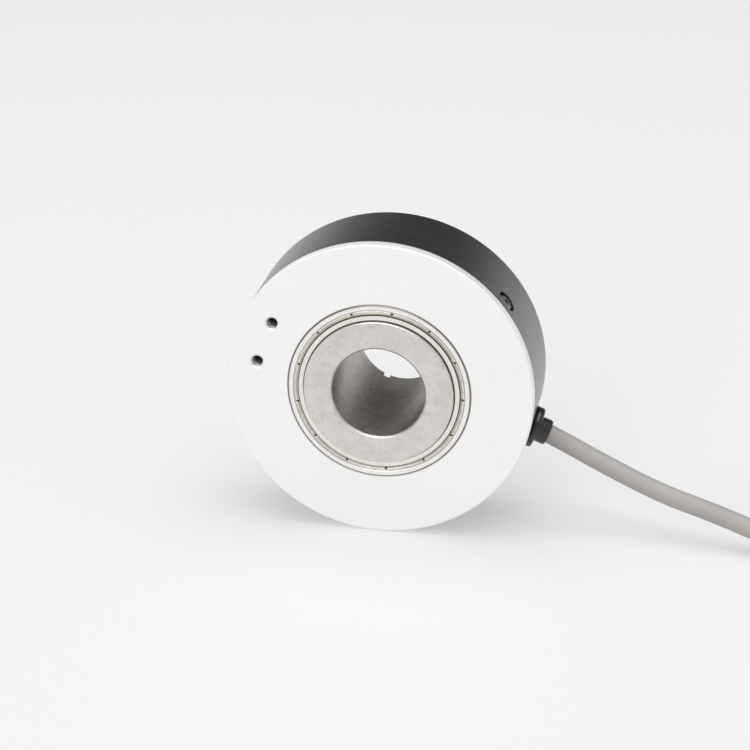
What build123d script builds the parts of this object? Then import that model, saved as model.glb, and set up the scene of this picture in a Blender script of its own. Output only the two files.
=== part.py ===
from build123d import *
import math
import os

# Through-hollow-shaft rotary encoder with a radial cable, in millimetres.
# Frame: +Y runs along the bore from the front face to the rear, +Z is up, +X is to the right
# seen from the front. The origin is on the bore axis, in the plane of the flange's front face.
# The encoder stands on its rim, so what it stands on is the plane z = -RIM_R.
# Angles about the bore are counted from +X towards +Z, in degrees, as seen from the front.

# ---- housing ----
RIM_R = 46.0
JOINT_Y = 3.4
COVER_END_Y = 29.3
COVER_WALL = 2.8
COVER_BACK = 2.5
SPIGOT_R = 43.0
SPIGOT_END_Y = 12.0
HUB_R = 31.0
HUB_END_Y = 19.2
LAND_R = 26.2
EDGE = 0.4
REAR_HOLE_R = 20.6

# ---- bearings, thin section, 45 x 55 x 6 ----
BEARING_IN_R = 22.5
BEARING_OUT_R = 27.5
BEARING_WIDTH = 6.0
FRONT_BEARING_Y = -0.2
REAR_BEARING_Y = 11.4
BALL_R = 1.2
BALL_PITCH_R = 25.0
BALL_COUNT = 26
BALL_PLAY = 0.05
INNER_LAND_R = 24.15
OUTER_LAND_R = 25.75
SHIELD_T = 0.25
SHIELD_IN_R = 24.3
SHIELD_OUT_R = 26.1
SHIELD_SET_BACK = 0.35
CAGE_T = 0.5

# ---- shaft and clamp ring ----
BORE_R = 14.0
SHAFT_R = 22.5
SHAFT_FRONT_Y = -1.3
SHAFT_SHOULDER_Y = 25.0
NECK_R = 18.0
NECK_END_Y = 33.0
SLEEVE_R = 15.0
SHAFT_END_Y = 42.8
BORE_EDGE = 0.5
SLOT_W = 2.0
SLOT_START_Y = 33.6
SLOT_COUNT = 3
SLOT_ANGLE = -112.0
CLAMP_R = 22.0
CLAMP_START_Y = 33.4
CLAMP_SLIT_W = 1.8
CLAMP_ANGLE = 68.0
CLAMP_SCREW_OFFSET = 18.0

# ---- screws and holes in the housing ----
ARM_PITCH_R = 37.4
ARM_HOLE_ANGLES = (149.1, 169.6)
ARM_HOLE_R = 1.7
ARM_HOLE_DEPTH = 9.0
ARM_MOUTH_R = 2.3
COVER_SCREW_ANGLES = (37.7, 157.7, 277.7)
COVER_SCREW_Y = 8.6
SCREW_POCKET_R = 3.3
SCREW_POCKET_FLOOR_R = 44.2
M3_R = 1.5
M3_HEAD_R = 2.8
M3_HEAD_H = 1.65
M3_LENGTH = 7.5
FIT_GAP = 0.05

# ---- code disc, light source and board ----
DISC_HUB_Y = 19.6
DISC_HUB_R = 30.0
DISC_COLLAR_R = 26.0
DISC_Y = 21.4
DISC_T = 1.0
DISC_R = 38.0
DISC_SCREW_PITCH_R = 28.0
OPTICS_R = 34.5
OPTICS_ANGLE = 150.0
HOLDER_SCREW_STEP = 11.0
BOARD_Y = 23.7
BOARD_T = 1.2
BOARD_IN_R = 31.5
BOARD_OUT_R = 42.6
BOARD_HALF_ARC = 108.0
POST_PITCH_R = 40.6
POST_ANGLES = (66.0, 150.0, 234.0)
POST_R = 2.0
BOARD_SCREW_R = 1.0
BOARD_SCREW_DEPTH = 2.4

# ---- cable ----
CABLE_R = 2.9
EXIT_ANGLE = -21.0
EXIT_Y = 20.7
JACKET_INNER_END_R = 40.6
GROMMET_FLANGE_R = 6.35
GROMMET_FLANGE_TOP_R = 48.4
GROMMET_COLLAR_R = 3.95
EXIT_R = 52.0
GROMMET_NECK_R = 4.2
GROMMET_LIP_R = 5.0
GROMMET_LIP_T = 1.4
FLOOR_Z = -RIM_R
LYING_Z = FLOOR_Z + CABLE_R
COIL_CENTRE_X = 152.0
COIL_OUTER_TURN_R = 33.5
COIL_INNER_TURN_R = COIL_OUTER_TURN_R - 2 * CABLE_R
COIL_CENTRE_Y = 2.9 + COIL_OUTER_TURN_R
COIL_LAYERS = 2
COIL_TOP_Z = FLOOR_Z + COIL_LAYERS * 2 * CABLE_R
CABLE_ROUTE = [
    (50.4, 20.7, -19.35),
    (67.0, 17.8, -26.7),
    (84.0, 13.2, -32.2),
    (98.0, 10.0, -34.9),
    (112.0, 7.0, -38.5),
    (126.0, 4.2, LYING_Z),
    (140.0, 2.6, LYING_Z),
    (COIL_CENTRE_X, 2.9, LYING_Z),
]
TAIL_START_ANGLE = 162.0
TAIL_STEP = 21.0
TAIL_COUNT = 13
TAIL_R = (COIL_OUTER_TURN_R + COIL_INNER_TURN_R) / 2
TAIL_START_R = COIL_OUTER_TURN_R - 1.2
TAIL_START_Z = LYING_Z + 8.4
TAIL_Z = LYING_Z + 2 * CABLE_R * (1 + math.sqrt(3) / 2)
TAIL_END_LIFT = 0.4
END_SLEEVE_R = 3.3
END_SLEEVE_LENGTH = 8.0
LEAD_R = 0.65
LEAD_COUNT = 5
LEAD_PITCH_R = 1.7
LEAD_SPREAD = 2.1
LEAD_REACH = 44.0
RUN_SHARE = 0.45


def save(name, shape):
    """Writes one named piece; a list becomes a group of separate solids."""
    if isinstance(shape, (list, tuple)):
        shape = Compound(children=list(shape))
    export_step(shape, f"parts/{name}.step")


def turned(outline):
    """A solid of revolution about the bore axis from (radius, y) points."""
    face = make_face(Polyline(*outline, close=True))
    return revolve(face, axis=Axis.Y, revolution_arc=360)


def ring(outer, inner, start, end, edge=0.0):
    """A plain ring about the bore axis, with its outer edges bevelled by edge."""
    if not edge:
        return turned([(inner, start), (outer, start), (outer, end), (inner, end)])
    return turned(
        [
            (inner, start),
            (outer - edge, start),
            (outer, start + edge),
            (outer, end - edge),
            (outer - edge, end),
            (inner, end),
        ]
    )


def around(angle, shape):
    """Turns a shape about the bore axis, counted from +X towards +Z."""
    return Rot(0, -angle, 0) * shape


def spoke(angle, y):
    """A plane on the bore axis whose normal points out at the angle."""
    a = math.radians(angle)
    return Plane(origin=(0, y, 0), x_dir=(0, 1, 0), z_dir=(math.cos(a), 0, math.sin(a)))


def radial_rod(angle, y, radius, start, end):
    """A round rod along a spoke, from one distance from the bore axis to another."""
    return spoke(angle, y) * Pos(0, 0, (start + end) / 2) * Cylinder(radius, end - start)


def axial_rod(angle, pitch, radius, start, end):
    """A round rod parallel to the bore axis, at a pitch radius and an angle."""
    rod = Rot(90, 0, 0) * Cylinder(radius, end - start)
    return around(angle, Pos(pitch, (start + end) / 2, 0) * rod)


def socket_screw(head_r, head_h, shank_r, length, socket_r, socket_depth):
    """A domed screw with a hex socket; its head stands on z = 0 and its shank goes down."""
    top_r = head_r * 0.55
    head = revolve(
        make_face(
            [
                Line((0, 0), (head_r, 0)),
                Line((head_r, 0), (head_r, head_h * 0.3)),
                ThreePointArc((head_r, head_h * 0.3), (head_r * 0.85, head_h * 0.75), (top_r, head_h)),
                Line((top_r, head_h), (0, head_h)),
                Line((0, head_h), (0, 0)),
            ]
        ),
        axis=Axis.Y,
        revolution_arc=360,
    )
    head = Rot(90, 0, 0) * head
    shank = Pos(0, 0, -length / 2) * Cylinder(shank_r, length)
    socket = extrude(RegularPolygon(socket_r, 6), socket_depth)
    return head + shank - Pos(0, 0, head_h - socket_depth) * socket


# ---------------------------------------------------------------- housing

def front_flange():
    """The aluminium flange: face plate, spigot for the cover and hub for both bearings."""
    rear_seat = REAR_BEARING_Y
    circlip = REAR_BEARING_Y + BEARING_WIDTH
    body = turned(
        [
            (BEARING_OUT_R + 0.15, 0),
            (RIM_R - EDGE, 0),
            (RIM_R, EDGE),
            (RIM_R, JOINT_Y),
            (SPIGOT_R, JOINT_Y),
            (SPIGOT_R, JOINT_Y + 1.0),
            (SPIGOT_R - 1.0, JOINT_Y + 1.0),
            (SPIGOT_R - 1.0, JOINT_Y + 2.3),
            (SPIGOT_R, JOINT_Y + 2.3),
            (SPIGOT_R, SPIGOT_END_Y - EDGE),
            (SPIGOT_R - EDGE, SPIGOT_END_Y),
            (HUB_R, SPIGOT_END_Y),
            (HUB_R, HUB_END_Y),
            (BEARING_OUT_R, HUB_END_Y),
            (BEARING_OUT_R, circlip + 1.1),
            (BEARING_OUT_R + 1.1, circlip + 1.1),
            (BEARING_OUT_R + 1.1, circlip),
            (BEARING_OUT_R, circlip),
            (BEARING_OUT_R, rear_seat),
            (LAND_R, rear_seat),
            (LAND_R, FRONT_BEARING_Y + BEARING_WIDTH),
            (BEARING_OUT_R, FRONT_BEARING_Y + BEARING_WIDTH),
            (BEARING_OUT_R, 0.15),
        ]
    )
    for angle in ARM_HOLE_ANGLES:
        body -= axial_rod(angle, ARM_PITCH_R, ARM_HOLE_R, 0, ARM_HOLE_DEPTH)
        mouth = Rot(90, 0, 0) * Cone(ARM_HOLE_R, ARM_MOUTH_R, ARM_MOUTH_R - ARM_HOLE_R)
        body -= around(angle, Pos(ARM_PITCH_R, (ARM_MOUTH_R - ARM_HOLE_R) / 2, 0) * mouth)
    thread_end = SCREW_POCKET_FLOOR_R - M3_LENGTH - 0.5
    for angle in COVER_SCREW_ANGLES:
        body -= radial_rod(angle, COVER_SCREW_Y, M3_R + FIT_GAP, thread_end, RIM_R)
    post_hole_y = SPIGOT_END_Y - BOARD_SCREW_DEPTH - 0.2
    for angle in POST_ANGLES:
        body -= axial_rod(angle, POST_PITCH_R, BOARD_SCREW_R + FIT_GAP, post_hole_y, SPIGOT_END_Y)
    for angle in holder_screw_angles():
        body -= axial_rod(angle, OPTICS_R, 0.8, SPIGOT_END_Y - 3.2, SPIGOT_END_Y)
    return body


def rear_cover():
    """The black cup behind the flange, with a seal seat round the shaft and the cable hole."""
    inner = RIM_R - COVER_WALL
    floor = COVER_END_Y - COVER_BACK
    body = turned(
        [
            (inner, JOINT_Y),
            (RIM_R, JOINT_Y),
            (RIM_R, COVER_END_Y - 0.6),
            (RIM_R - 0.6, COVER_END_Y),
            (REAR_HOLE_R, COVER_END_Y),
            (REAR_HOLE_R, floor + 0.5),
            (REAR_HOLE_R - 1.2, floor + 0.5),
            (REAR_HOLE_R - 1.2, floor),
            (inner - 1.0, floor),
            (inner, floor - 1.0),
        ]
    )
    for angle in COVER_SCREW_ANGLES:
        body -= radial_rod(angle, COVER_SCREW_Y, M3_R + 0.2, inner - 1, RIM_R)
        body -= radial_rod(angle, COVER_SCREW_Y, SCREW_POCKET_R, SCREW_POCKET_FLOOR_R, RIM_R + 1)
    body -= radial_rod(EXIT_ANGLE, EXIT_Y, GROMMET_NECK_R, inner - 1, RIM_R + 1)
    return body


def cover_screws():
    """Three radial screws that hold the cover on the flange's spigot."""
    screw = socket_screw(M3_HEAD_R, M3_HEAD_H, M3_R, M3_LENGTH, 1.15, 1.0)
    return [
        spoke(angle, COVER_SCREW_Y) * Pos(0, 0, SCREW_POCKET_FLOOR_R) * screw
        for angle in COVER_SCREW_ANGLES
    ]


def cover_o_ring():
    """The O-ring in the spigot's groove, just inside the cover."""
    middle_r = SPIGOT_R - 0.42
    section = Pos(middle_r, JOINT_Y + 1.65) * Circle(0.55)
    return revolve(section, axis=Axis.Y, revolution_arc=360)


def dust_seal():
    """The rubber lip seal in the cover's rear hole; its lip stops just short of the neck."""
    floor = COVER_END_Y - COVER_BACK + 0.5
    lip_r = NECK_R + 0.08
    return turned(
        [
            (REAR_HOLE_R, floor),
            (REAR_HOLE_R, COVER_END_Y - 0.2),
            (REAR_HOLE_R - 1.0, COVER_END_Y - 0.2),
            (REAR_HOLE_R - 1.0, floor + 0.8),
            (lip_r + 0.5, COVER_END_Y - 0.5),
            (lip_r, COVER_END_Y - 0.7),
            (lip_r + 0.3, floor),
        ]
    )


def bearing_circlip():
    """The internal circlip that keeps the rear bearing in the flange; its gap is at the bottom."""
    start = REAR_BEARING_Y + BEARING_WIDTH + FIT_GAP
    body = ring(BEARING_OUT_R + 1.0, BEARING_OUT_R - 1.4, start, start + 1.0)
    return body - around(270, Pos(BEARING_OUT_R, start + 0.5, 0) * Box(8, 2, 5))


# ---------------------------------------------------------------- bearings

def bearing_outer_ring(start):
    """An outer ring with its ball groove and a step at each side for the shields."""
    end = start + BEARING_WIDTH
    step = SHIELD_SET_BACK + SHIELD_T
    body = turned(
        [
            (OUTER_LAND_R, start + step),
            (SHIELD_OUT_R, start + step),
            (SHIELD_OUT_R, start + 0.12),
            (SHIELD_OUT_R - 0.15, start),
            (BEARING_OUT_R - 0.35, start),
            (BEARING_OUT_R, start + 0.35),
            (BEARING_OUT_R, end - 0.35),
            (BEARING_OUT_R - 0.35, end),
            (SHIELD_OUT_R - 0.15, end),
            (SHIELD_OUT_R, end - 0.12),
            (SHIELD_OUT_R, end - step),
            (OUTER_LAND_R, end - step),
        ]
    )
    return body - ball_track(start)


def bearing_inner_ring(start):
    """An inner ring with its ball groove."""
    end = start + BEARING_WIDTH
    body = turned(
        [
            (BEARING_IN_R, start + 0.3),
            (BEARING_IN_R + 0.3, start),
            (INNER_LAND_R, start),
            (INNER_LAND_R, end),
            (BEARING_IN_R + 0.3, end),
            (BEARING_IN_R, end - 0.3),
        ]
    )
    return body - ball_track(start)


def ball_track(start):
    """The torus that the balls sweep, with their running play."""
    section = Pos(BALL_PITCH_R, start + BEARING_WIDTH / 2) * Circle(BALL_R + BALL_PLAY)
    return revolve(section, axis=Axis.Y, revolution_arc=360)


def bearing_balls(start):
    """One row of evenly spaced balls."""
    middle = start + BEARING_WIDTH / 2
    step = 360 / BALL_COUNT
    return [
        around(i * step, Pos(BALL_PITCH_R, middle, 0) * Sphere(BALL_R)) for i in range(BALL_COUNT)
    ]


def bearing_cage(start):
    """A thin crown cage: a side ring with one finger between each pair of balls."""
    middle = start + BEARING_WIDTH / 2
    inner, outer = BALL_PITCH_R - 0.35, BALL_PITCH_R + 0.35
    body = ring(outer, inner, middle + BALL_R + 0.15, middle + BALL_R + 0.15 + CAGE_T)
    step = 360 / BALL_COUNT
    length = 2 * BALL_R + 0.15
    for i in range(BALL_COUNT):
        finger = Pos(BALL_PITCH_R, middle + BALL_R + 0.2 - length / 2, 0) * Box(0.6, length, 1.6)
        body += around((i + 0.5) * step, finger)
    return body


def bearing_shield(start, front):
    """A pressed steel shield held in the outer ring's step, clear of the inner ring."""
    y = start + SHIELD_SET_BACK if front else start + BEARING_WIDTH - SHIELD_SET_BACK - SHIELD_T
    return ring(SHIELD_OUT_R, SHIELD_IN_R, y, y + SHIELD_T)


def bearing_spacer():
    """The sleeve between the two inner rings."""
    start = FRONT_BEARING_Y + BEARING_WIDTH
    return ring(INNER_LAND_R, SHAFT_R, start, REAR_BEARING_Y)


# ---------------------------------------------------------------- shaft

def hollow_shaft():
    """The through-hollow shaft: bearing seat, neck through the cover and slotted clamp sleeve."""
    groove = REAR_BEARING_Y + BEARING_WIDTH
    body = turned(
        [
            (BORE_R, SHAFT_FRONT_Y + BORE_EDGE),
            (BORE_R + BORE_EDGE, SHAFT_FRONT_Y),
            (SHAFT_R - 0.25, SHAFT_FRONT_Y),
            (SHAFT_R, SHAFT_FRONT_Y + 0.25),
            (SHAFT_R, groove),
            (SHAFT_R - 1.0, groove),
            (SHAFT_R - 1.0, groove + 1.2),
            (SHAFT_R, groove + 1.2),
            (SHAFT_R, SHAFT_SHOULDER_Y - EDGE),
            (SHAFT_R - EDGE, SHAFT_SHOULDER_Y),
            (NECK_R, SHAFT_SHOULDER_Y),
            (NECK_R, NECK_END_Y - EDGE),
            (NECK_R - EDGE, NECK_END_Y),
            (SLEEVE_R, NECK_END_Y),
            (SLEEVE_R, SHAFT_END_Y - 0.15),
            (SLEEVE_R - 0.15, SHAFT_END_Y),
            (BORE_R + 0.15, SHAFT_END_Y),
            (BORE_R, SHAFT_END_Y - 0.15),
        ]
    )
    length = SHAFT_END_Y - SLOT_START_Y
    for i in range(SLOT_COUNT):
        cut = Pos(BORE_R + 0.5, SLOT_START_Y + length / 2 + 1, 0) * Box(5, length + 2, SLOT_W)
        body -= around(SLOT_ANGLE + i * 360 / SLOT_COUNT, cut)
    return body


def shaft_circlip():
    """The external circlip behind the rear bearing's inner ring; its gap is at the top."""
    start = REAR_BEARING_Y + BEARING_WIDTH + FIT_GAP
    body = ring(SHAFT_R + 1.4, SHAFT_R - 0.9, start, start + 1.1)
    return body - around(90, Pos(SHAFT_R, start + 0.55, 0) * Box(8, 2, 5))


def clamp_screw_place():
    """The clamp screw's axis: tangential, across the slit, head on the side it is turned from."""
    middle = (CLAMP_START_Y + SHAFT_END_Y) / 2
    return Rot(0, -CLAMP_ANGLE, 0) * Pos(CLAMP_SCREW_OFFSET, middle, 0)


def clamp_ring():
    """The split ring that squeezes the shaft's slotted sleeve on the driving shaft."""
    body = ring(CLAMP_R, SLEEVE_R + 0.02, CLAMP_START_Y, SHAFT_END_Y, EDGE)
    middle = (CLAMP_START_Y + SHAFT_END_Y) / 2
    reach = CLAMP_R - SLEEVE_R + 4
    slit = Pos((CLAMP_R + SLEEVE_R) / 2 + 0.5, middle, 0) * Box(reach, 12, CLAMP_SLIT_W)
    body -= around(CLAMP_ANGLE, slit)
    place = clamp_screw_place()
    body -= place * Pos(0, 0, -1) * Cylinder(1.6, 21)
    body -= place * Pos(0, 0, 10.5) * Cylinder(3.0, 11)
    return body


def clamp_ring_screw():
    """The socket head cap screw across the clamp ring's slit."""
    head = Pos(0, 0, 6.6) * Cylinder(2.75, 3.0)
    shank = Pos(0, 0, -1.2) * Cylinder(M3_R, 12.8)
    socket = Pos(0, 0, 6.7) * extrude(RegularPolygon(1.44, 6), 1.5)
    return clamp_screw_place() * (head + shank - socket)


# ---------------------------------------------------------------- code disc and optics

def disc_hub():
    """The turned hub on the shaft that carries the code disc."""
    body = turned(
        [
            (SHAFT_R, DISC_HUB_Y),
            (DISC_HUB_R, DISC_HUB_Y),
            (DISC_HUB_R, DISC_Y),
            (DISC_COLLAR_R, DISC_Y),
            (DISC_COLLAR_R, DISC_Y + 2.8),
            (SHAFT_R, DISC_Y + 2.8),
        ]
    )
    for i in range(3):
        body -= axial_rod(30 + 120 * i, DISC_SCREW_PITCH_R, 0.85, DISC_HUB_Y, DISC_Y)
    return body


def code_disc():
    """The glass disc that carries the ring of fine lines."""
    body = ring(DISC_R, DISC_COLLAR_R + FIT_GAP, DISC_Y, DISC_Y + DISC_T)
    for i in range(3):
        body -= axial_rod(30 + 120 * i, DISC_SCREW_PITCH_R, 1.0, DISC_Y - 1, DISC_Y + DISC_T + 1)
    return body


def disc_retainer():
    """The ring that presses the code disc on its hub."""
    start = DISC_Y + DISC_T
    body = ring(DISC_HUB_R, DISC_COLLAR_R + FIT_GAP, start, start + 0.8)
    for i in range(3):
        body -= axial_rod(30 + 120 * i, DISC_SCREW_PITCH_R, 0.9, start - 1, start + 2)
    return body


def disc_screws():
    """Three small screws through the retainer and the disc into the hub."""
    screws = []
    seat = DISC_Y + DISC_T + 0.8
    for i in range(3):
        angle = 30 + 120 * i
        shank = axial_rod(angle, DISC_SCREW_PITCH_R, 0.8, DISC_HUB_Y + 0.3, seat)
        head = axial_rod(angle, DISC_SCREW_PITCH_R, 1.5, seat, seat + 0.9)
        screws.append(shank + head)
    return screws


def holder_screw_angles():
    """The two places of the light source holder's screws."""
    return (OPTICS_ANGLE - HOLDER_SCREW_STEP, OPTICS_ANGLE + HOLDER_SCREW_STEP)


def light_source_holder():
    """The moulded block on the flange that holds the light source in front of the disc."""
    start = SPIGOT_END_Y
    body = around(OPTICS_ANGLE, Pos(OPTICS_R, start + 3.6, 0) * Box(5.6, 7.2, 8.0))
    body += around(OPTICS_ANGLE, Pos(OPTICS_R - 0.4, start + 0.8, 0) * Box(4.4, 1.6, 17.0))
    for angle in holder_screw_angles():
        body -= axial_rod(angle, OPTICS_R, 0.9, start, start + 1.6)
    return body - axial_rod(OPTICS_ANGLE, OPTICS_R, 1.55, start, start + 7.2)


def holder_screws():
    """Two small screws through the holder's base."""
    screws = []
    for angle in holder_screw_angles():
        seat = SPIGOT_END_Y + 1.6
        shank = axial_rod(angle, OPTICS_R, 0.75, seat - 4.4, seat)
        screws.append(shank + axial_rod(angle, OPTICS_R, 1.4, seat, seat + 0.9))
    return screws


def light_source():
    """The light-emitting diode with its domed lens facing the disc."""
    start = SPIGOT_END_Y
    body = axial_rod(OPTICS_ANGLE, OPTICS_R, 1.5, start + 2.6, start + 7.4)
    dome = around(OPTICS_ANGLE, Pos(OPTICS_R, start + 7.4, 0) * Sphere(1.5))
    return body + dome


def reticle():
    """The slit mask glued on the light sensor, close behind the disc."""
    y = DISC_Y + DISC_T + 0.3
    return around(OPTICS_ANGLE, Pos(OPTICS_R, y + 0.15, 0) * Box(4.4, 0.3, 6.4))


def light_sensor():
    """The light sensor chip on the front of the board."""
    y = DISC_Y + DISC_T + 0.6
    depth = BOARD_Y - y
    return around(OPTICS_ANGLE, Pos(OPTICS_R, y + depth / 2, 0) * Box(5.2, depth, 7.6))


def circuit_board():
    """The curved board behind the disc, open on the side where the cable comes in."""
    body = ring(BOARD_OUT_R, BOARD_IN_R, BOARD_Y, BOARD_Y + BOARD_T)
    span = 360 - 2 * BOARD_HALF_ARC
    cut_angle = OPTICS_ANGLE + 180
    wedge = make_face(
        Polyline(
            (0, 0),
            polar(120, -span / 2),
            polar(170, 0),
            polar(120, span / 2),
            close=True,
        )
    )
    cutter = Pos(0, BOARD_Y - 2, 0) * Rot(-90, 0, 0) * extrude(wedge, 6)
    body -= around(cut_angle, cutter)
    for angle in POST_ANGLES:
        body -= axial_rod(angle, POST_PITCH_R, 1.1, BOARD_Y - 1, BOARD_Y + 3)
    return body


def polar(radius, angle):
    """A point in the plane at a radius and an angle."""
    a = math.radians(angle)
    return (radius * math.cos(a), radius * math.sin(a))


def board_chips():
    """The line drivers and small parts soldered on the front of the board."""
    chips = []
    for angle, radial, tangential, height in (
        (79, 4.0, 5.0, 1.4),
        (98, 5.2, 8.6, 1.3),
        (121, 3.0, 4.2, 0.9),
        (178, 4.0, 5.0, 1.2),
        (201, 5.2, 6.4, 1.3),
        (221, 2.2, 3.6, 0.9),
    ):
        pitch = 42.4 - radial / 2
        y = BOARD_Y + BOARD_T
        chips.append(
            around(angle, Pos(pitch - 0.9, y + height / 2, 0) * Box(radial, height, tangential))
        )
    return chips


def board_posts():
    """Three posts that hold the board off the flange."""
    posts = []
    for angle in POST_ANGLES:
        post = axial_rod(angle, POST_PITCH_R, POST_R, SPIGOT_END_Y, BOARD_Y)
        posts.append(post - axial_rod(angle, POST_PITCH_R, 1.05, SPIGOT_END_Y, BOARD_Y))
    return posts


def board_screws():
    """Three pan-head screws through the board and its posts into the flange."""
    screws = []
    seat = BOARD_Y + BOARD_T
    for angle in POST_ANGLES:
        shank = axial_rod(angle, POST_PITCH_R, BOARD_SCREW_R, SPIGOT_END_Y - BOARD_SCREW_DEPTH, seat)
        screws.append(shank + axial_rod(angle, POST_PITCH_R, 1.9, seat, seat + 1.2))
    return screws


def lead_socket():
    """The socket on the board that the inner leads plug into."""
    angle = OPTICS_ANGLE - BOARD_HALF_ARC + 6
    return around(angle, Pos(40.6, BOARD_Y - 1.8, 0) * Box(3.4, 3.6, 6.4))


# ---------------------------------------------------------------- cable

def grommet():
    """The rubber grommet: collar, outer flange, neck through the wall and inner lip."""
    wall_in = RIM_R - COVER_WALL
    flange = radial_rod(EXIT_ANGLE, EXIT_Y, GROMMET_FLANGE_R, RIM_R - 2, GROMMET_FLANGE_TOP_R)
    flange = fillet(flange.edges().group_by(Axis((0, 0, 0), spoke(EXIT_ANGLE, 0).z_dir))[-1], 0.5)
    flange -= ring(RIM_R, 1.0, 0, COVER_END_Y + 5)
    collar = radial_rod(EXIT_ANGLE, EXIT_Y, GROMMET_COLLAR_R, RIM_R - 1, EXIT_R)
    collar = fillet(collar.edges().group_by(Axis((0, 0, 0), spoke(EXIT_ANGLE, 0).z_dir))[-1], 0.35)
    neck = radial_rod(EXIT_ANGLE, EXIT_Y, GROMMET_NECK_R, wall_in - 1, RIM_R)
    lip_start = wall_in - GROMMET_LIP_T
    lip = radial_rod(EXIT_ANGLE, EXIT_Y, GROMMET_LIP_R, lip_start, wall_in)
    lip &= ring(wall_in, 30, 0, COVER_END_Y)
    body = flange + collar + neck + lip
    return body - radial_rod(EXIT_ANGLE, EXIT_Y, CABLE_R, 35, 60)


def cable_tie():
    """The tie round the jacket inside the housing, which stops the cable being pulled out."""
    band = radial_rod(EXIT_ANGLE, EXIT_Y, 4.0, JACKET_INNER_END_R, JACKET_INNER_END_R + 1.0)
    band -= radial_rod(EXIT_ANGLE, EXIT_Y, CABLE_R, 30, 60)
    lock = spoke(EXIT_ANGLE, EXIT_Y) * Pos(-4.7, 0, JACKET_INNER_END_R + 0.5) * Box(2.0, 2.4, 1.0)
    return band + lock


def exit_point(distance):
    """A point on the cable's exit axis, at a distance from the bore axis."""
    a = math.radians(EXIT_ANGLE)
    return (distance * math.cos(a), EXIT_Y, distance * math.sin(a))


def corner_radii(points):
    """The largest tangent arc that each corner's two runs allow, as a share of the shorter."""
    vectors = [Vector(*b) - Vector(*a) for a, b in zip(points, points[1:])]
    radii = []
    for before, after in zip(vectors, vectors[1:]):
        half_turn = math.radians(before.get_angle(after)) / 2
        shorter = min(before.length, after.length)
        radii.append(RUN_SHARE * shorter / math.tan(half_turn))
    return radii


def tube_along(name, points, radius):
    """A round tube along straight runs joined by tangent arcs; prints its radii and length."""
    radii = corner_radii(points)
    line = FilletPolyline(*points, radius=radii)
    start = Plane(origin=line @ 0, z_dir=line % 0)
    solid = sweep(start * Circle(radius), path=line)
    expected = math.pi * radius**2 * line.length
    print(name, "length", round(line.length, 1), "volume ratio", round(solid.volume / expected, 4))
    print(name, "corner radii", [round(r, 1) for r in radii])
    return solid


def cable():
    """The cable from inside the housing to its coil."""
    return tube_along("cable", [exit_point(JACKET_INNER_END_R)] + CABLE_ROUTE, CABLE_R)


def cable_coil():
    """The outer shape of the full turns of the put-away cable, two wide and two high."""
    width = COIL_OUTER_TURN_R - COIL_INNER_TURN_R + 2 * CABLE_R
    height = COIL_LAYERS * 2 * CABLE_R
    middle_r = (COIL_OUTER_TURN_R + COIL_INNER_TURN_R) / 2
    section = Plane.XZ * Pos(middle_r, 0) * RectangleRounded(width, height, CABLE_R * 0.8)
    solid = revolve(section, axis=Axis.Z, revolution_arc=360)
    return Pos(COIL_CENTRE_X, COIL_CENTRE_Y, FLOOR_Z + height / 2) * solid


def coil_point(distance, angle, z):
    """A point at a distance and an angle from the coil's upright axis."""
    x, y = polar(distance, angle)
    return (COIL_CENTRE_X + x, COIL_CENTRE_Y + y, z)


def tail_points():
    """The cable's last stretch, which comes up from the coil and lies round on top of it."""
    points = [coil_point(TAIL_START_R, TAIL_START_ANGLE, TAIL_START_Z)]
    for i in range(1, TAIL_COUNT):
        lift = TAIL_END_LIFT if i > TAIL_COUNT - 3 else 0.0
        points.append(coil_point(TAIL_R, TAIL_START_ANGLE + i * TAIL_STEP, TAIL_Z + lift))
    return points


def cable_tail():
    """The last part turn of the cable, on top of the coil."""
    return tube_along("cable_tail", tail_points(), CABLE_R)


def tail_end():
    """The plane of the jacket's far end, its normal pointing onwards."""
    points = tail_points()
    onwards = Vector(*points[-1]) - Vector(*points[-2])
    return Plane(origin=points[-1], x_dir=(0, 0, 1), z_dir=onwards)


def cable_end_sleeve():
    """The shrunk sleeve round the end of the jacket."""
    body = Cylinder(END_SLEEVE_R, END_SLEEVE_LENGTH) - Cylinder(CABLE_R, END_SLEEVE_LENGTH)
    return tail_end() * Pos(0, 0, -END_SLEEVE_LENGTH / 2) * body


def lead_wires():
    """The separate leads that come out of the jacket's end and fan out along the coil's top."""
    end = tail_end()
    end_angle = TAIL_START_ANGLE + (TAIL_COUNT - 1) * TAIL_STEP
    leads = []
    for i in range(LEAD_COUNT):
        x, y = polar(LEAD_PITCH_R, 90 + i * 360 / LEAD_COUNT)
        across = LEAD_SPREAD * (i - (LEAD_COUNT - 1) / 2)
        low = COIL_TOP_Z + LEAD_R + 0.05
        points = [
            tuple(end.from_local_coords(Vector(x, y, 0))),
            tuple(end.from_local_coords(Vector(x, y, 3.5))),
            coil_point(TAIL_R + across * 0.6, end_angle + 16, low + 0.6),
            coil_point(TAIL_R + across * 0.9, end_angle + 29, low),
            coil_point(TAIL_R + across, end_angle + LEAD_REACH - 3 * (i % 2), low),
        ]
        line = FilletPolyline(*points, radius=corner_radii(points))
        leads.append(sweep(Plane(origin=line @ 0, z_dir=line % 0) * Circle(LEAD_R), path=line))
    return leads


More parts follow.
